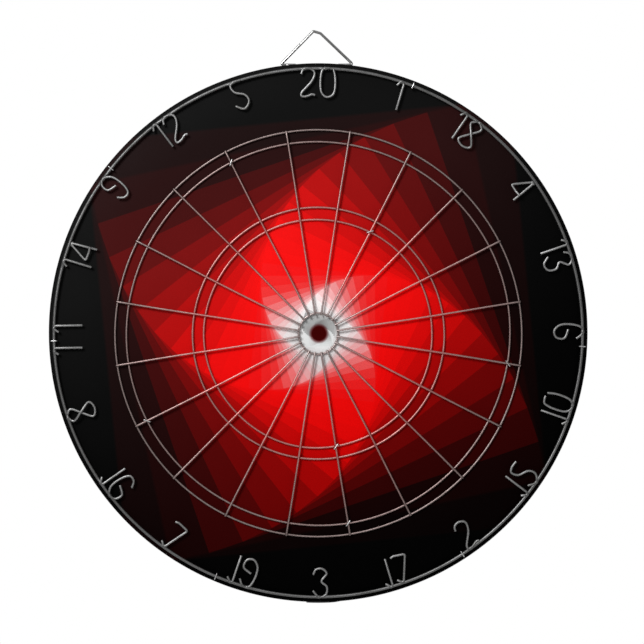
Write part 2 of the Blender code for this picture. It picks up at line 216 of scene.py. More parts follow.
def blendColours(tree, amount, first, second, blend="MIX"):
    node = addNode(tree, "ShaderNodeMix", data_type="RGBA", blend_type=blend)
    feed(tree, node.inputs["Factor"], amount)
    feed(tree, node.inputs["A"], first)
    feed(tree, node.inputs["B"], second)
    return node.outputs["Result"]


def fromAxis(tree, place):
    # distance from the line through the middle of the board
    flat = addNode(tree, "ShaderNodeVectorMath", {0: place, 1: (1.0, 0.0, 1.0)},
                   operation="MULTIPLY")
    return addNode(tree, "ShaderNodeVectorMath", {0: flat.outputs["Vector"]},
                   operation="LENGTH").outputs["Value"]


def spread(tree, value, low, high, toLow, toHigh):
    node = addNode(tree, "ShaderNodeMapRange",
                   {"Value": value, "From Min": low, "From Max": high, "To Min": toLow,
                    "To Max": toHigh})
    return node.outputs["Result"]


def newGroup(name, inputs, outputs):
    group = bpy.data.node_groups.new(name, "ShaderNodeTree")
    kinds = {float: "NodeSocketFloat", tuple: "NodeSocketColor", str: "NodeSocketVector"}
    for label, value in inputs.items():
        socket = group.interface.new_socket(label, in_out="INPUT",
                                            socket_type=kinds[type(value)])
        if not isinstance(value, str):
            socket.default_value = value
    for label, kind in outputs.items():
        group.interface.new_socket(label, in_out="OUTPUT", socket_type=kinds[kind])
    return group, group.nodes.new("NodeGroupInput").outputs, group.nodes.new("NodeGroupOutput")


def labelOf(key):
    # patchScale becomes Patch Scale
    return key[0].upper() + "".join(" " + c if c.isupper() else c for c in key[1:])


def useGroup(tree, group, **inputs):
    node = addNode(tree, "ShaderNodeGroup", node_tree=group)
    for key, value in inputs.items():
        feed(tree, node.inputs[labelOf(key)], value)
    return node.outputs


def startFinish(name, **constants):
    # a new material, its tree, its object coordinates and its shader
    finish = bpy.data.materials.new(name)
    finish.use_nodes = True
    tree = finish.node_tree
    shader = tree.nodes["Principled BSDF"]
    for key, value in constants.items():
        shader.inputs[labelOf(key).replace("I O R", "IOR")].default_value = value
    place = tree.nodes.new("ShaderNodeTexCoord").outputs["Object"]
    return finish, tree, place, shader


def addBump(tree, shader, height, strength, distance):
    bump = addNode(tree, "ShaderNodeBump",
                   {"Height": height, "Strength": strength, "Distance": distance})
    tree.links.new(bump.outputs["Normal"], shader.inputs["Normal"])


# node groups: effects that more than one finish uses

def makeDrawnSteel():
    # drawn wire: bright metal, dull oxide patches and fine marks
    group, given, out = newGroup("drawnSteel", {
        "Vector": "", "Bright": (0.62, 0.61, 0.60, 1.0), "Dull": (0.30, 0.29, 0.28, 1.0),
        "Patch Scale": 90.0, "Mark Scale": 900.0, "Dullness": 0.5, "Smooth": 0.3,
        "Rough": 0.5}, {"Color": tuple, "Roughness": float, "Height": float})
    patches = noise(group, given["Vector"], given["Patch Scale"], 4.0, 0.6)
    marks = noise(group, given["Vector"], given["Mark Scale"], 2.0, 0.5)
    mask = spread(group, patches, 0.42, 0.68, 0.0, 1.0)
    dulled = calc(group, "MULTIPLY", mask, given["Dullness"], clamp=True)
    fine = spread(group, marks, 0.3, 0.7, 0.85, 1.1)
    colour = blendColours(group, dulled, given["Bright"], given["Dull"])
    colour = blendColours(group, 1.0, colour, fine, "MULTIPLY")
    roughness = addNode(group, "ShaderNodeMix", {"Factor": dulled, "A": given["Smooth"],
                                                 "B": given["Rough"]}, data_type="FLOAT")
    feed(group, out.inputs["Color"], colour)
    feed(group, out.inputs["Roughness"], roughness.outputs["Result"])
    feed(group, out.inputs["Height"], calc(group, "MULTIPLY_ADD", marks, 0.5, patches))
    return group


def makePaperFibre():
    # paper stock: soft cloudiness, short fibres and the coil of the core behind it
    group, given, out = newGroup("paperFibre", {
        "Vector": "", "Light": (0.5, 0.4, 0.3, 1.0), "Dark": (0.35, 0.26, 0.17, 1.0),
        "Cloud Scale": 25.0, "Fibre Scale": 900.0, "Coil Pitch": 2.4 * mm,
        "Coil Depth": 0.5}, {"Color": tuple, "Height": float, "Mask": float})
    clouds = noise(group, given["Vector"], given["Cloud Scale"], 5.0, 0.6)
    fibres = noise(group, given["Vector"], given["Fibre Scale"], 3.0, 0.7)
    turns = calc(group, "DIVIDE", fromAxis(group, given["Vector"]), given["Coil Pitch"])
    wander = calc(group, "MULTIPLY_ADD", clouds, 1.4, turns)
    coil = calc(group, "SINE", calc(group, "MULTIPLY", wander, 2 * math.pi))
    mask = calc(group, "MULTIPLY_ADD", fibres, 0.6, calc(
        group, "MULTIPLY", clouds, 0.5), clamp=True)
    mask = spread(group, mask, 0.35, 0.75, 0.0, 1.0)
    feed(group, out.inputs["Color"], blendColours(group, mask, given["Dark"], given["Light"]))
    feed(group, out.inputs["Height"], calc(group, "MULTIPLY_ADD", coil, calc(
        group, "MULTIPLY", given["Coil Depth"], 0.5), fibres))
    feed(group, out.inputs["Mask"], mask)
    return group


def makeTurnedSquare():
    # one square of the print: adds one to the count inside it, and says how high the
    # nearest corner stands, from 0 at the bottom to 1 at the top
    group, given, out = newGroup("turnedSquare", {
        "Vector": "", "Half Side": 0.1, "Turn": 0.0, "Soft Edge": 0.0003, "Count": 0.0,
        "Slant": 0.5}, {"Count": float, "Slant": float})
    turned = addNode(group, "ShaderNodeVectorRotate",
                     {"Vector": given["Vector"], "Angle": given["Turn"]}, rotation_type="Y_AXIS")
    place = addNode(group, "ShaderNodeSeparateXYZ", {0: turned.outputs["Vector"]}).outputs
    reach = calc(group, "MAXIMUM", calc(group, "ABSOLUTE", place["X"]),
                 calc(group, "ABSOLUTE", place["Z"]))
    room = calc(group, "SUBTRACT", given["Half Side"], reach)
    inside = calc(group, "ADD", calc(group, "DIVIDE", room, given["Soft Edge"]), 0.5, clamp=True)
    corner = addNode(group, "ShaderNodeCombineXYZ",
                     {"X": calc(group, "SIGN", place["X"]), "Z": calc(group, "SIGN", place["Z"])})
    back = addNode(group, "ShaderNodeVectorRotate",
                   {"Vector": corner.outputs["Vector"],
                    "Angle": calc(group, "MULTIPLY", given["Turn"], -1.0)},
                   rotation_type="Y_AXIS")
    height = addNode(group, "ShaderNodeSeparateXYZ", {0: back.outputs["Vector"]}).outputs["Z"]
    high = calc(group, "MULTIPLY_ADD", height, 0.5 / math.sqrt(2), 0.5)
    slant = addNode(group, "ShaderNodeMix", {"Factor": inside, "A": given["Slant"], "B": high},
                    data_type="FLOAT").outputs["Result"]
    feed(group, out.inputs["Count"], calc(group, "ADD", given["Count"], inside))
    feed(group, out.inputs["Slant"], slant)
    return group


drawnSteel = makeDrawnSteel()
paperFibre = makePaperFibre()
turnedSquare = makeTurnedSquare()

steelLooks = {
    # bright, dull, patch scale, dullness, smooth, rough
    "spiderSteel": ((0.42, 0.41, 0.40, 1.0), (0.26, 0.25, 0.24, 1.0), 70.0, 0.55, 0.44, 0.58),
    "numberSteel": ((0.34, 0.34, 0.34, 1.0), (0.18, 0.18, 0.17, 1.0), 60.0, 0.60, 0.42, 0.58),
    "stapleSteel": ((0.64, 0.64, 0.64, 1.0), (0.40, 0.39, 0.38, 1.0), 120.0, 0.40, 0.28, 0.42),
    "tackSteel": ((0.68, 0.68, 0.68, 1.0), (0.42, 0.41, 0.40, 1.0), 200.0, 0.50, 0.24, 0.42),
    "eyeSteel": ((0.72, 0.72, 0.72, 1.0), (0.46, 0.45, 0.44, 1.0), 150.0, 0.45, 0.20, 0.36),
    "bailPlate": ((0.46, 0.46, 0.46, 1.0), (0.26, 0.26, 0.25, 1.0), 80.0, 0.55, 0.16, 0.30),
}
# how the steel's colour changes outwards from the middle of the board: on the spider it is painted
# reflection of the print behind it, and the number ring is darker than its numerals
steelTonesAndPaintedReflection = {
    # spider: painted reflection of the print, redder over its red middle and darker towards the
    # black rim
    "spiderSteel": ((0 * mm, (0.95, 0.90, 0.90)), (26 * mm, (1.00, 0.80, 0.80)),
                    (45 * mm, (1.45, 0.60, 0.58)), (95 * mm, (1.30, 0.52, 0.50)),
                    (120 * mm, (0.95, 0.54, 0.52)), (180 * mm, (0.62, 0.54, 0.53))),
    "numberSteel": ((218.6 * mm, (0.88, 0.88, 0.88)), (219.6 * mm, (0.50, 0.50, 0.50))),
}
toneReach = 250 * mm  # where the ramp of those colours ends
steelBump = {"strength": 0.25, "distance": 0.05 * mm}


def fillRamp(ramp, colours):
    # colour stops at their places, in rising order
    stops = ramp.color_ramp.elements
    stops.remove(stops[1])
    for index, (where, colour) in enumerate(colours):
        stop = stops[0] if index == 0 else stops.new(where)
        stop.position = where
        stop.color = (*colour, 1.0)


def toneSteel(tree, place, colour, tones):
    # multiplies the steel by a colour ramp outwards from the middle; on the spider this ramp is
    # painted reflection
    outwards = calc(tree, "DIVIDE", fromAxis(tree, place), toneReach)
    ramp = addNode(tree, "ShaderNodeValToRGB", {0: outwards})
    fillRamp(ramp, [(radius / toneReach, tone) for radius, tone in tones])
    return blendColours(tree, 1.0, colour, ramp.outputs["Color"], "MULTIPLY")


def makeSteel(name, bright, dull, patchScale, dullness, smooth, rough):
    finish, tree, place, shader = startFinish(name, metallic=1.0)
    steel = useGroup(tree, drawnSteel, vector=place, bright=bright, dull=dull,
                     patchScale=patchScale, dullness=dullness, smooth=smooth, rough=rough)
    colour = steel["Color"]
    if name in steelTonesAndPaintedReflection:
        colour = toneSteel(tree, place, colour, steelTonesAndPaintedReflection[name])
    tree.links.new(colour, shader.inputs["Base Color"])
    tree.links.new(steel["Roughness"], shader.inputs["Roughness"])
    addBump(tree, shader, steel["Height"], **steelBump)
    return finish


steels = {name: makeSteel(name, *look) for name, look in steelLooks.items()}

printLook = {
    "squares": 33, "halfDiagonal": 252.2 * mm, "shrink": 0.9035,
    "turn": 39.3, "turnStep": -6.5, "softEdge": 0.45 * mm, "outerSoftEdge": 2.5 * mm,
    "rampSteps": 51,  # counts that the ramp spans
    # how many squares lie over a point, and the ink there as it is seen
    "inks": {0: (0.004, 0.004, 0.004), 1: (0.05, 0.006, 0.006), 2: (0.085, 0.006, 0.006),
             3: (0.18, 0.006, 0.006), 5: (0.38, 0.008, 0.008), 8: (0.71, 0.012, 0.012),
             10: (0.85, 0.018, 0.018), 12: (0.88, 0.020, 0.020), 13: (0.87, 0.04, 0.045),
             15: (0.86, 0.15, 0.15), 18: (0.87, 0.52, 0.525), 21: (0.88, 0.80, 0.80),
             22: (0.88, 0.86, 0.86), 24: (0.86, 0.85, 0.85), 26: (0.74, 0.74, 0.74),
             29: (0.70, 0.71, 0.71), 33: (0.58, 0.57, 0.57)},
    # how much darker a facet under a high corner is: lighter at first, then darker
    "facets": ((18.0, 20.0, -0.14), (24.0, 26.5, 0.60)),
    "lightSide": (-0.42, 0.0, 0.91),  # painted light comes from here; the print fades to painted shade on the far side
    "paintedLightSpan": (-190 * mm, 105 * mm),
    "lift": 0.082,  # painted sheen: how much is added on the light side
    "shade": 0.93,  # painted shade: what is left of the ink on the far side
    "core": {"x": 0.6 * mm, "z": -0.7 * mm, "radius": 7.1 * mm, "softEdge": 3.0 * mm,
             "ink": (0.235, 0.004, 0.010, 1.0)},
    "displayGamma": 2.2,
    "sheen": (0.44, 0.58), "bump": {"strength": 0.12, "distance": 0.04 * mm},
}


def makePrint():
    finish, tree, place, shader = startFinish("printedFace", specularIORLevel=0.02)
    shapes = []
    for k in range(printLook["squares"]):
        softEdge = printLook["outerSoftEdge" if k < 2 else "softEdge"]
        shapes.append((printLook["halfDiagonal"] * printLook["shrink"] ** k,
                       printLook["turn"] + printLook["turnStep"] * k, softEdge))
    count, slant = 0.0, 0.5
    for halfDiagonal, turn, softEdge in shapes:
        square = useGroup(tree, turnedSquare, vector=place, halfSide=halfDiagonal / math.sqrt(2),
                          turn=math.radians(45 - turn), softEdge=softEdge, count=count,
                          slant=slant)
        count, slant = square["Count"], square["Slant"]
    ramp = addNode(tree, "ShaderNodeValToRGB",
                   {0: calc(tree, "DIVIDE", count, float(printLook["rampSteps"]))})
    fillRamp(ramp, [(n / printLook["rampSteps"], ink) for n, ink in printLook["inks"].items()])
    # facets near the middle are shaded by how high their corner stands
    amount = 0.0
    for low, high, change in printLook["facets"]:
        amount = calc(tree, "ADD", amount, spread(tree, count, low, high, 0.0, change))
    tone = calc(tree, "SUBTRACT", 1.0, calc(
        tree, "MULTIPLY", calc(tree, "SUBTRACT", slant, 0.5), amount))
    ink = blendColours(tree, 1.0, ramp.outputs["Color"], tone, "MULTIPLY")
    # painted light: one side is lighter with painted sheen, the far side darker with painted shade;
    # the very middle is a dark round spot in the print
    across = addNode(tree, "ShaderNodeVectorMath", {0: place, 1: printLook["lightSide"]},
                     operation="DOT_PRODUCT").outputs["Value"]
    # shade is painted shade on the far side and lift is painted sheen on the light side
    shade = spread(tree, across, *printLook["paintedLightSpan"], printLook["shade"], 1.0)
    lift = spread(tree, across, *printLook["paintedLightSpan"], 0.0, printLook["lift"])
    ink = blendColours(tree, 1.0, ink, shade, "MULTIPLY")
    ink = blendColours(tree, 1.0, ink, lift, "ADD")
    core = printLook["core"]
    fromCore = addNode(tree, "ShaderNodeVectorMath",
                       {0: place, 1: (core["x"], faceY, core["z"])}, operation="DISTANCE")
    inCore = spread(tree, fromCore.outputs["Value"], core["radius"] - core["softEdge"] / 2,
                    core["radius"] + core["softEdge"] / 2, 1.0, 0.0)
    ink = blendColours(tree, inCore, ink, core["ink"])
    linear = addNode(tree, "ShaderNodeGamma",
                     {"Color": ink, "Gamma": printLook["displayGamma"]}).outputs["Color"]
    stock = useGroup(tree, paperFibre, vector=place, light=(1.0, 1.0, 1.0, 1.0),
                     dark=(0.95, 0.95, 0.95, 1.0), cloudScale=40.0, coilDepth=0.35)
    shaded = blendColours(tree, 1.0, linear, stock["Color"], "MULTIPLY")
    tree.links.new(shaded, shader.inputs["Base Color"])
    tree.links.new(spread(tree, stock["Mask"], 0.0, 1.0, *printLook["sheen"]),
                   shader.inputs["Roughness"])
    addBump(tree, shader, stock["Height"], **printLook["bump"])
    return finish


paperLooks = {
    "backPaper": {"light": (0.46, 0.33, 0.20, 1.0), "dark": (0.33, 0.22, 0.13, 1.0),
                  "coilDepth": 1.1, "cloudScale": 18.0, "rough": (0.70, 0.88), "bump": 0.5},
    "woundFibre": {"light": (0.50, 0.38, 0.25, 1.0), "dark": (0.30, 0.21, 0.13, 1.0),
                   "coilDepth": 2.0, "cloudScale": 60.0, "rough": (0.80, 0.95), "bump": 0.8},
}
paperBumpDistance = 0.2 * mm


def makePaper(name):
    look = paperLooks[name]
    finish, tree, place, shader = startFinish(name, specularIORLevel=0.3)
    stock = useGroup(tree, paperFibre, vector=place, light=look["light"], dark=look["dark"],
                     cloudScale=look["cloudScale"], coilDepth=look["coilDepth"])
    tree.links.new(stock["Color"], shader.inputs["Base Color"])
    tree.links.new(spread(tree, stock["Mask"], 0.0, 1.0, *look["rough"]),
                   shader.inputs["Roughness"])
    addBump(tree, shader, stock["Height"], look["bump"], paperBumpDistance)
    return finish


bandLook = {
    "paint": (0.012, 0.012, 0.013, 1.0), "worn": (0.045, 0.043, 0.042, 1.0),
    "scuffScale": 55.0, "grainScale": 1400.0, "scuffed": (0.55, 0.72), "rough": (0.34, 0.55),
    "bump": {"strength": 0.15, "distance": 0.06 * mm},
}


def makeBandPaint():
    finish, tree, place, shader = startFinish("blackBand", specularIORLevel=0.45)
    scuffs = spread(tree, noise(tree, place, bandLook["scuffScale"], 6.0, 0.7),
                    *bandLook["scuffed"], 0.0, 1.0)
    grain = noise(tree, place, bandLook["grainScale"], 2.0)
    tree.links.new(blendColours(tree, scuffs, bandLook["paint"], bandLook["worn"]),
                   shader.inputs["Base Color"])
    tree.links.new(spread(tree, scuffs, 0.0, 1.0, *bandLook["rough"]),
                   shader.inputs["Roughness"])
    addBump(tree, shader, grain, **bandLook["bump"])
    return finish


printedFace = makePrint()
backPaper = makePaper("backPaper")
woundFibre = makePaper("woundFibre")
blackBand = makeBandPaint()
print("finishes made:", len(bpy.data.materials))

# the two sheets; the core between them keeps its CAD shape
boardShape = {
    "sheetRadius": 224.8 * mm, "sheetThickness": 0.6 * mm,
    "sides": 256, "rolled": 0.25 * mm,
    "insets": (40.0 * mm, 60.0 * mm, 60.0 * mm),  # rings of the face, from its edge in
}


def makeSheet(name, yFront, yBack, faceOut):
    pick()
    bpy.ops.mesh.primitive_cylinder_add(
        vertices=boardShape["sides"], radius=boardShape["sheetRadius"],
        depth=yBack - yFront, location=(0, (yFront + yBack) / 2, 0),
        rotation=(math.radians(90), 0, 0))
    sheet = newest(name)
    fixPlace(sheet)
    applyStep(sheet, "BEVEL", limit_method="ANGLE", angle_limit=math.radians(60),
              width=boardShape["rolled"], segments=2)
    selectFaces(sheet, lambda face: face.normal.y * faceOut > 0.99)
    for inset in boardShape["insets"]:
        bpy.ops.mesh.inset(thickness=inset)
    leaveEdit()
    smoothShade(sheet, 40)
    return sheet


faceSheet = makeSheet("faceSheet", faceY, faceY + boardShape["sheetThickness"], -1)
settle(faceSheet, "board", "printed_face", printedFace, "face_sheet")
backSheet = makeSheet("backSheet", -boardShape["sheetThickness"], 0.0, 1)
settle(backSheet, "board", "back_paper", backPaper, "back_sheet")
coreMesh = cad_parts["wound_core"].data
coreMesh.materials.clear()
coreMesh.materials.append(woundFibre)
print("sheets made")

bandShape = {
    "inner": 225.1 * mm, "thickness": 0.4 * mm,
    "lap": 5.0, "ramp": 2.0, "rampEnd": 0.5,  # degrees: lap, rise before it, flat before it
    "steps": 300, "rolled": 0.15 * mm, "slotDepth": 8 * mm, "slotDrop": 3 * mm,
}


def bandRadius(angle):
    # inside of the strip, counted along it from its inner end
    rampStart = 360.0 - bandShape["ramp"] - bandShape["rampEnd"]
    t = min(max((angle - rampStart) / bandShape["ramp"], 0.0), 1.0)
    return bandShape["inner"] + t * t * (3 - 2 * t) * (bandShape["thickness"] + gap)


def makeBand():
    # a flat strip, rolled round the rim with its outer end over its inner end
    sweep = 360.0 + bandShape["lap"]
    pick()
    bpy.ops.mesh.primitive_grid_add(x_subdivisions=bandShape["steps"], y_subdivisions=2, size=1.0)
    band = newest("edgeBand")
    for corner in band.data.vertices:
        corner.co = ((corner.co.x + 0.5) * sweep * mm, faceY + (corner.co.y + 0.5) * -faceY, 0)
    applyStep(band, "SOLIDIFY", thickness=bandShape["thickness"], offset=1.0)
    applyStep(band, "BEVEL", limit_method="ANGLE", angle_limit=math.radians(60),
              width=bandShape["rolled"], segments=3)
    first = 180.0 - bandShape["lap"] / 2
    for corner in band.data.vertices:
        angle = corner.co.x / mm
        corner.co = onBoard(bandRadius(angle) + corner.co.z, first + angle, corner.co.y)
    cleanShell(band)
    smoothShade(band, 40)
    return band


hangerShape = {
    "wire": 2.4 * mm, "centreX": -1.1 * mm, "axisY": -9.0 * mm, "axisZ": 226.4 * mm,
    "footEnd": 18.0 * mm, "corner": 31.0 * mm,
    "apex": 3.0 * mm, "apexLeft": 28.5 * mm, "apexRight": 26.7 * mm,
    "bend": 1.6 * mm, "eyeX": 23.2 * mm, "eyeWidth": 5.5 * mm, "strap": 0.7 * mm,
    "leg": 11.0 * mm, "eased": 0.16 * mm,
}


def eyePlaces():
    return (hangerShape["centreX"] - hangerShape["eyeX"],
            hangerShape["centreX"] + hangerShape["eyeX"])


def cutSlots(band):
    # openings that the eyes' legs go through
    inner = hangerShape["wire"] / 2 + gap
    outer = inner + hangerShape["strap"]
    cutters = []
    for x in eyePlaces():
        for side in (-1, 1):
            pick()
            bpy.ops.mesh.primitive_cube_add(
                size=1.0, location=(x, hangerShape["axisY"] + side * (inner + outer) / 2,
                                    hangerShape["axisZ"] - bandShape["slotDrop"]),
                scale=(hangerShape["eyeWidth"] + 2 * gap, hangerShape["strap"] + 2 * gap,
                       bandShape["slotDepth"]))
            fixPlace(bpy.context.object)
            cutters.append(bpy.context.object)
    cutter = joinPieces("slotCutter", cutters)
    applyStep(band, "BOOLEAN", operation="DIFFERENCE", solver="EXACT", object=cutter)
    bpy.data.objects.remove(cutter)


edgeBand = makeBand()
cutSlots(edgeBand)
smoothShade(edgeBand, 40)
settle(edgeBand, "board", "black_band", blackBand, "edge_band")
print("edge band made")

tackShape = {
    "headRadius": 2.2 * mm, "headThickness": 0.7 * mm, "shankRadius": 0.7 * mm,
    "length": 11.0 * mm, "spacing": 11.0 * mm, "seat": 226.5 * mm, "sides": 24,
    "crown": ((0.35, 0.0), (0.7, -0.16), (0.7, -0.07)),  # rings of the head: inset and rise, mm
    "droop": 0.55, "point": 0.08,  # shares of the head's thickness and of the shank's width
}


def makeTack():
    # head down at the rim, shank up into the board
    seat = -tackShape["seat"]
    top = seat - tackShape["headThickness"]
    pick()
    bpy.ops.mesh.primitive_cylinder_add(
        vertices=tackShape["sides"], radius=tackShape["headRadius"],
        depth=tackShape["headThickness"], location=(0, 0, (seat + top) / 2))
    tack = newest("bandTackFront")
    fixPlace(tack)
    selectFaces(tack, lambda face: face.normal.z < -0.9)
    for inset, rise in tackShape["crown"]:
        bpy.ops.mesh.inset(thickness=inset * mm)
        bpy.ops.transform.translate(value=(0, 0, rise * mm))
    selectFaces(tack, lambda face: face.normal.z > 0.9)
    bpy.ops.mesh.inset(thickness=tackShape["headRadius"] - tackShape["shankRadius"])
    for share in (0.8, 0.2):
        bpy.ops.mesh.extrude_region_move(
            TRANSFORM_OT_translate={"value": (0, 0, share * tackShape["length"])})
    bpy.ops.transform.resize(value=(tackShape["point"], tackShape["point"], 1.0))
    leaveEdit()
    # the rim of the head droops to the seat and its top stays inside the head's thickness
    for corner in tack.data.vertices:
        reach = Vector((corner.co.x, corner.co.y)).length / tackShape["headRadius"]
        if corner.co.z < seat - 0.1 * mm:
            corner.co.z = top + tackShape["droop"] * reach ** 4 * tackShape["headThickness"]
    cleanShell(tack)
    smoothShade(tack, 50)
    return tack


bandTackFront = makeTack()
pick(bandTackFront)
bpy.ops.object.duplicate()
bandTackBack = newest("bandTackBack")
for tack, side, node in ((bandTackFront, -1, "band_tack_front"),
                         (bandTackBack, 1, "band_tack_back")):
    tack.location.y = (faceY + side * tackShape["spacing"]) / 2
    fixPlace(tack)
    settle(tack, "board", "tack_steel", steels["tackSteel"], node)
print("tacks made")

spiderShape = {
    "wire": 1.65 * mm, "wave": 0.35 * mm, "sectors": 20,
    "drop": 0.8 * mm,  # it sits a little below the middle of the board
    "standOff": 1.1 * mm,  # from the face to its rings
    "spokeInner": 15.4 * mm, "spokeOuter": 170.4 * mm, "spokeSteps": 28,
    # piece, CAD node, radius, steps, lobes of the wave
    "rings": (("doubleOuterRing", "double_outer_ring", 170.0 * mm, 300, 3),
              ("doubleInnerRing", "double_inner_ring", 160.2 * mm, 300, 4),
              ("tripleOuterRing", "triple_outer_ring", 105.2 * mm, 220, 3),
              ("tripleInnerRing", "triple_inner_ring", 95.4 * mm, 220, 5),
              ("bullRing", "bull_ring", 16.8 * mm, 96, 2)),
}
ringY = faceY - spiderShape["standOff"] - spiderShape["wire"] / 2
spokeY = ringY - spiderShape["wire"] - gap
sectorAngle = 360.0 / spiderShape["sectors"]


def onSpider(radius, angle, y):
    return onBoard(radius, angle, y) - Vector((0, 0, spiderShape["drop"]))


def ringRadius(radius, lobes, angle):
    return radius + spiderShape["wave"] * math.sin(math.radians(angle * lobes + 40 * lobes))


def spokeWave(index, along):
    return spiderShape["wave"] * math.sin(math.pi * along) * math.sin(4 * along + 2.4 * index)


for pieceName, node, radius, steps, lobes in spiderShape["rings"]:
    circle = [onSpider(ringRadius(radius, lobes, 360.0 * step / steps), 360.0 * step / steps, ringY)
              for step in range(steps)]
    ring = bendWire(pieceName, circle, spiderShape["wire"], closed=True)
    settle(ring, "board", "spider_wire", steels["spiderSteel"], node)

spokeSpan = spiderShape["spokeOuter"] - spiderShape["spokeInner"]
for index in range(1, spiderShape["sectors"] + 1):
    angle = (index - 0.5) * sectorAngle
    line = []
    for step in range(spiderShape["spokeSteps"] + 1):
        along = step / spiderShape["spokeSteps"]
        line.append(onSpider(spiderShape["spokeInner"] + along * spokeSpan, angle, spokeY)
                    + onBoard(spokeWave(index, along), angle + 90, 0))
    spoke = bendWire(f"spokeWire{index:02d}", line, spiderShape["wire"])
    settle(spoke, "board", "spider_wire", steels["spiderSteel"], f"spoke_wire_{index:02d}")
print("spider made")

weldShape = {
    "long": 1.3 * mm, "wide": 1.2 * mm, "deep": 1.0 * mm, "sides": 12, "rings": 7,
    "drawnOut": 0.10, "uneven": 0.12, "atBull": 0.7,  # shares of a weld's size
}


def makeWelds():
    # a little pool of metal where each spoke crosses each ring
    pick()
    bpy.ops.mesh.primitive_uv_sphere_add(segments=weldShape["sides"],
                                         ring_count=weldShape["rings"], radius=1.0)
    pattern = newest("weldPattern")
    bpy.ops.object.mode_set(mode="EDIT")
    bpy.ops.transform.resize(value=(weldShape["wide"], weldShape["deep"], weldShape["long"]))
    leaveEdit()
    for corner in pattern.data.vertices:
        # drawn out along both wires
        spin = math.atan2(corner.co.x, corner.co.z)
        stretch = 1 + weldShape["drawnOut"] * math.cos(4 * spin)
        corner.co.x *= stretch
        corner.co.z *= stretch
    welds = []
    for pieceName, node, radius, steps, lobes in spiderShape["rings"]:
        for index in range(1, spiderShape["sectors"] + 1):
            angle = (index - 0.5) * sectorAngle
            here = ringRadius(radius, lobes, angle)
            along = (here - spiderShape["spokeInner"]) / spokeSpan
            centre = onSpider(here, angle, (ringY + spokeY) / 2)
            centre += onBoard(spokeWave(index, along), angle + 90, 0)
            pick(pattern)
            bpy.ops.object.duplicate()
            weld = bpy.context.object
            weld.rotation_euler = (0, math.radians(angle), 0)
            size = 1.0 + weldShape["uneven"] * math.sin(7.3 * index + 900 * radius)
            if pieceName == "bullRing":
                size *= weldShape["atBull"]
            weld.scale = (size, size, size)
            weld.location = centre
            welds.append(weld)
    bpy.data.objects.remove(pattern)
    piece = joinPieces("spiderWelds", welds)
    fixPlace(piece)
    smoothShade(piece, 80)
    return piece


spiderWelds = makeWelds()
settle(spiderWelds, "board", "spider_wire", steels["spiderSteel"])
print("welds made")

numberShape = {
    "radius": 220.6 * mm, "ringWire": 2.4 * mm, "wire": 2.0 * mm, "height": 23.8 * mm,
    "spacing": 4.4 * mm, "elevenSpacing": 12.9 * mm, "standOff": 2.3 * mm,
    "forward": 0.6 * mm, "bend": 0.065, "steps": 280,
    "bead": {"radius": 1.75 * mm, "shape": (1.35, 0.8, 0.82), "segments": 14, "rings": 9},
    "numbers": (20, 1, 18, 4, 13, 6, 10, 15, 2, 17, 3, 19, 7, 16, 8, 11, 14, 9, 12, 5),
    "feetOut": (10, 15, 2, 17, 3, 19, 7, 16),
    "shiftUnit": 0.5 * mm,  # numbers stand this many units clockwise of their sector's middle
    "shifts": {1: 3, 18: 1, 4: 2, 6: -2, 10: -3, 15: -1, 2: -2, 3: -3, 19: -4, 7: -5,
               16: -5, 8: -4, 11: -12, 14: -3, 9: -3, 12: -3, 5: -2},
    # across and up in numeral heights; a third value lifts the wire, in diameters
    "bent": {
        "1": ((-0.20, 0.33), (-0.10, 0.50), (0.02, 0.48), (0.04, -0.50)),
        "1 feet out": ((0.04, 0.50), (0.02, -0.48), (-0.06, -0.50), (-0.20, -0.34)),
        "4": ((0.22, -0.50), (0.16, 0.50), (-0.27, -0.23), (0.02, -0.25, 0.3),
              (0.24, -0.24, 1.25)),
        "7": ((-0.27, 0.46), (-0.14, 0.50), (0.27, 0.45), (-0.08, -0.50), (-0.27, -0.34)),
    },
    "curved": {
        "0": ((0.20, 0.47), (0.26, 0.18), (0.25, -0.22), (0.16, -0.44), (-0.06, -0.50),
              (-0.23, -0.32), (-0.26, 0.06), (-0.20, 0.42), (-0.06, 0.50), (0.085, 0.50)),
        "2": ((-0.24, 0.30), (-0.16, 0.46), (0.04, 0.50), (0.23, 0.36), (0.14, 0.06),
              (-0.20, -0.32), (-0.22, -0.47), (-0.06, -0.48), (0.14, -0.41), (0.25, -0.44)),
        "3": ((-0.24, 0.28), (-0.14, 0.46), (0.08, 0.49), (0.23, 0.32), (0.05, 0.05),
              (0.24, -0.14), (0.20, -0.42), (-0.04, -0.50), (-0.25, -0.28)),
        "5": ((0.20, 0.50), (-0.06, 0.50), (-0.22, 0.40), (-0.14, 0.15), (0.18, -0.04),
              (0.25, -0.30), (0.02, -0.50), (-0.25, -0.33)),
        "6": ((0.24, 0.28), (0.08, 0.48), (-0.14, 0.47), (-0.25, 0.16), (-0.24, -0.26),
              (-0.04, -0.49), (0.20, -0.42), (0.23, -0.14), (-0.08, 0.0)),
    },
}
numberY = faceY - numberShape["standOff"] - numberShape["ringWire"] / 2
numeralY = numberY - numberShape["forward"]


def eightPoints():
    # a wire that crosses itself once, lifted where it passes over
    points = []
    for degrees in range(8, 353, 43):
        t = math.radians(degrees)
        width = 0.22 if math.cos(t) > 0 else 0.26
        lift = 1.25 * math.exp(-((degrees - 266) / 30) ** 2)
        points.append(Vector((width * math.sin(2 * t), 0.5 * math.cos(t), lift)))
    return points


def strokePath(digit, feetOut, steps):
    if digit == "8":
        return flowThrough(eightPoints(), steps)
    if digit == "9":
        return [Vector((-p.x, -p.y, p.z)) for p in strokePath("6", False, steps)]
    key = "1 feet out" if digit == "1" and feetOut else digit
    if key in numberShape["bent"]:
        corners = [Vector((*p, 0.0)[:3]) for p in numberShape["bent"][key]]
        return roundBends(corners, numberShape["bend"], steps)
    return flowThrough([Vector((*p, 0.0)) for p in numberShape["curved"][digit]], steps)


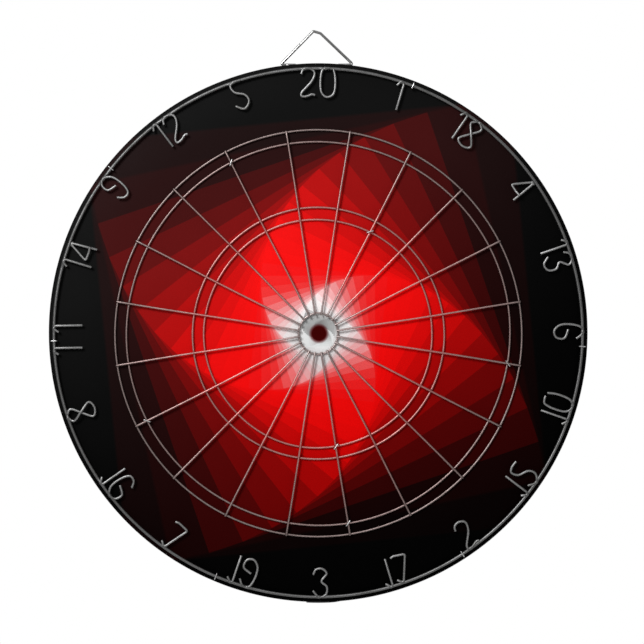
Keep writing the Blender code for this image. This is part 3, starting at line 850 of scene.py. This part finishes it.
def numberPaths(number, sector):
    # wire paths of one number's digits, side by side and centred on its sector
    feetOut = number in numberShape["feetOut"]
    height = numberShape["height"]
    strokes = [strokePath(digit, feetOut, 6) for digit in str(number)]
    spacing = numberShape["elevenSpacing" if number == 11 else "spacing"]
    widths = [(max(p.x for p in s) - min(p.x for p in s)) * height for s in strokes]
    facing = -1.0 if feetOut else 1.0
    shift = facing * numberShape["shifts"].get(number, 0) * numberShape["shiftUnit"]
    across = shift - (sum(widths) + spacing * (len(strokes) - 1)) / 2
    angle = sector * sectorAngle
    up = onBoard(facing, angle, 0)
    right = onBoard(facing, angle + 90, 0)
    middle = onBoard(numberShape["radius"] - height / 2, angle, numeralY)
    paths = []
    for stroke, width in zip(strokes, widths):
        left = min(p.x for p in stroke) * height
        paths.append([middle + right * (across - left + p.x * height) + up * (p.y * height)
                      + Vector((0, -p.z * numberShape["wire"], 0)) for p in stroke])
        across += width + spacing
    return paths


def unite(piece, other):
    applyStep(piece, "BOOLEAN", operation="UNION", solver="MANIFOLD", object=other)
    bpy.data.objects.remove(other)


def makeNumberRing():
    steps, weld = numberShape["steps"], numberShape["bead"]
    circle = [onBoard(numberShape["radius"], 360.0 * step / steps, numberY)
              for step in range(steps)]
    ring = bendWire("numberRing", circle, numberShape["ringWire"], closed=True)
    digits, beads = [], []
    for sector, number in enumerate(numberShape["numbers"]):
        for path in numberPaths(number, sector):
            digits.append(bendWire("digit", path, numberShape["wire"], tip=0.35))
            # one weld where the digit comes nearest to the ring
            near = min(path, key=lambda p: abs(math.hypot(p.x, p.z) - numberShape["radius"]))
            pick()
            bpy.ops.mesh.primitive_uv_sphere_add(
                segments=weld["segments"], ring_count=weld["rings"], radius=weld["radius"],
                location=(near.x, (near.y + numberY) / 2, near.z))
            bead = bpy.context.object
            bead.rotation_euler = (0, math.atan2(near.x, near.z), 0)
            bead.scale = weld["shape"]
            fixPlace(bead)
            beads.append(bead)
    unite(ring, joinPieces("digits", digits))
    unite(ring, joinPieces("beads", beads))
    smoothShade(ring, 50)
    return ring


numberRing = makeNumberRing()
settle(numberRing, "board", "number_wire", steels["numberSteel"], "number_ring")
print("number ring made:", len(numberRing.data.polygons), "faces")

stapleShape = {
    "wire": 1.0 * mm, "leg": 8.0 * mm, "bend": 0.5 * mm,
    "ringAngles": (21.0, 93.0, 146.9, 202.8, 268.2, 308.4),
    "doubleAngles": (99.0, 171.0, 243.0, 333.0), "tripleAngles": (27.0, 171.0),
}


def staplePlaces():
    # piece, CAD node, centre, crown direction, half span and crown depth
    reach = stapleShape["wire"] / 2 + gap
    half = numberShape["ringWire"] / 2 + stapleShape["wire"] / 2 + 2 * gap
    crown = numberY - numberShape["ringWire"] / 2 - reach
    for index, angle in enumerate(stapleShape["ringAngles"], 1):
        yield (f"numberStaple{index}", f"number_ring_staple_{index}",
               onBoard(numberShape["radius"], angle, 0), onBoard(1.0, angle, 0), half, crown)
    crown = spokeY - spiderShape["wire"] / 2 - reach
    half = math.sqrt(2) * (spiderShape["wire"] / 2 + stapleShape["wire"] / 2 + 2 * gap)
    crossings = [(spiderShape["rings"][1][2], angle) for angle in stapleShape["doubleAngles"]]
    crossings += [(spiderShape["rings"][3][2], angle) for angle in stapleShape["tripleAngles"]]
    for index, (radius, angle) in enumerate(crossings, 1):
        yield (f"spiderStaple{index}", f"spider_staple_{index}", onSpider(radius, angle, 0),
               onBoard(1.0, angle + 45, 0), half, crown)


for pieceName, node, centre, along, half, crown in staplePlaces():
    tip = Vector((0, faceY + stapleShape["leg"], 0))
    top = Vector((0, crown, 0))
    corners = [centre - along * half + tip, centre - along * half + top,
               centre + along * half + top, centre + along * half + tip]
    staple = bendWire(pieceName, roundBends(corners, stapleShape["bend"], 6),
                      stapleShape["wire"], roundness=3)
    settle(staple, "board", "staple_steel", steels["stapleSteel"], node)
print("staples made")

axis = Vector((hangerShape["centreX"], hangerShape["axisY"], hangerShape["axisZ"]))


def makeBail():
    # a triangle of wire whose feet turn inwards through the eyes
    corners = [Vector((x, 0, z)) + axis for x, z in (
        (-hangerShape["footEnd"], 0), (-hangerShape["corner"], 0),
        (-hangerShape["apex"], hangerShape["apexLeft"]),
        (hangerShape["apex"], hangerShape["apexRight"]),
        (hangerShape["corner"], 0), (hangerShape["footEnd"], 0))]
    return bendWire("hangerBail", roundBends(corners, hangerShape["bend"], 10),
                    hangerShape["wire"], roundness=8, tip=0.4)


def makeEye(name, x):
    # a strap bent over the bail's foot, both legs let into the rim
    inner = hangerShape["wire"] / 2 + gap
    strap, leg = hangerShape["strap"], hangerShape["leg"]
    pick()
    bpy.ops.mesh.primitive_cube_add(
        size=1.0, location=(x, axis.y - inner - strap / 2, axis.z - leg / 2),
        scale=(hangerShape["eyeWidth"], strap, leg))
    eye = newest(name)
    fixPlace(eye)
    selectFaces(eye, lambda face: face.normal.z > 0.9)
    bpy.ops.mesh.spin(steps=16, angle=math.radians(-180), center=(x, axis.y, axis.z),
                      axis=(1, 0, 0))
    bpy.ops.mesh.extrude_region_move(TRANSFORM_OT_translate={"value": (0, 0, -leg)})
    leaveEdit()
    cleanShell(eye)
    applyStep(eye, "BEVEL", limit_method="ANGLE", angle_limit=math.radians(40),
              width=hangerShape["eased"], segments=3)
    smoothShade(eye, 50)
    return eye


hangerBail = makeBail()
settle(hangerBail, "bail", "bail_steel", steels["bailPlate"], "hanger_bail")
for side, x in zip(("Left", "Right"), eyePlaces()):
    pieceName, node = f"hangerEye{side}", f"hanger_eye_{side.lower()}"
    settle(makeEye(pieceName, x), "board", "eye_steel", steels["eyeSteel"], node)
print("hanger made")

studio = {
    "floorZ": -1.73, "floorSize": 14.0,
    "floorTones": ((0.82, 0.82, 0.81, 1.0), (0.86, 0.86, 0.85, 1.0)),
    # what lights the object: from in front, from behind and from above; then what is seen
    "front": 0.17, "behind": 0.60, "above": 0.40, "backdrop": 1.0,
    "keyPlace": (-0.90, -1.85, 0.95), "keySize": 0.8, "keyPower": 42.5,
    "fillPlace": (1.5, -1.9, -0.3), "fillSize": 1.8, "fillPower": 4.0,
    "cameraX": 3.2 * mm, "cameraZ": 8.87 * mm, "frameWidth": 539.0 * mm,
    "lens": 100.0, "sensor": 36.0,
}


def makeFloor():
    pick()
    bpy.ops.mesh.primitive_plane_add(size=studio["floorSize"], location=(0, 0, studio["floorZ"]))
    floor = newest("studioFloor")
    finish, tree, place, shader = startFinish("floorPaint", specularIORLevel=0.2)
    clouds = noise(tree, place, 3.0, 4.0)
    tree.links.new(blendColours(tree, clouds, *studio["floorTones"]),
                   shader.inputs["Base Color"])
    tree.links.new(spread(tree, clouds, 0.0, 1.0, 0.55, 0.7), shader.inputs["Roughness"])
    floor.data.materials.append(finish)


def makeWorld():
    world = bpy.data.worlds.new("studioWorld")
    bpy.context.scene.world = world
    world.use_nodes = True
    tree = world.node_tree
    background = tree.nodes["Background"]
    ray = tree.nodes.new("ShaderNodeLightPath").outputs["Is Camera Ray"]
    toward = tree.nodes.new("ShaderNodeTexCoord").outputs["Generated"]
    toward = addNode(tree, "ShaderNodeSeparateXYZ", {0: toward}).outputs
    tone = spread(tree, toward["Y"], -0.15, 0.45, studio["front"], studio["behind"])
    above = spread(tree, toward["Z"], 0.3, 0.9, 0.0, studio["above"])
    tone = calc(tree, "ADD", tone, above)
    mixed = addNode(tree, "ShaderNodeMix", {"Factor": ray, "A": tone, "B": studio["backdrop"]},
                    data_type="FLOAT")
    tree.links.new(mixed.outputs["Result"], background.inputs["Strength"])
    background.inputs["Color"].default_value = (1.0, 1.0, 1.0, 1.0)


def addLamp(name, place, size, power):
    pick()
    bpy.ops.object.light_add(type="AREA", location=place)
    lamp = newest(name)
    lamp.data.shape = "DISK"
    lamp.data.size = size
    lamp.data.energy = power
    lamp.rotation_euler = (-Vector(place)).to_track_quat("-Z", "Y").to_euler()


def addCamera():
    distance = studio["frameWidth"] * studio["lens"] / studio["sensor"]
    pick()
    bpy.ops.object.camera_add(location=(studio["cameraX"], faceY - distance, studio["cameraZ"]),
                              rotation=(math.radians(90), 0, 0))
    camera = newest("studioCamera")
    camera.data.lens = studio["lens"]
    camera.data.sensor_width = studio["sensor"]
    bpy.context.scene.camera = camera


makeFloor()
makeWorld()
addLamp("keyLight", studio["keyPlace"], studio["keySize"], studio["keyPower"])
addLamp("fillLight", studio["fillPlace"], studio["fillSize"], studio["fillPower"])
addCamera()
bpy.context.scene.view_settings.view_transform = "Standard"
print("studio set up")
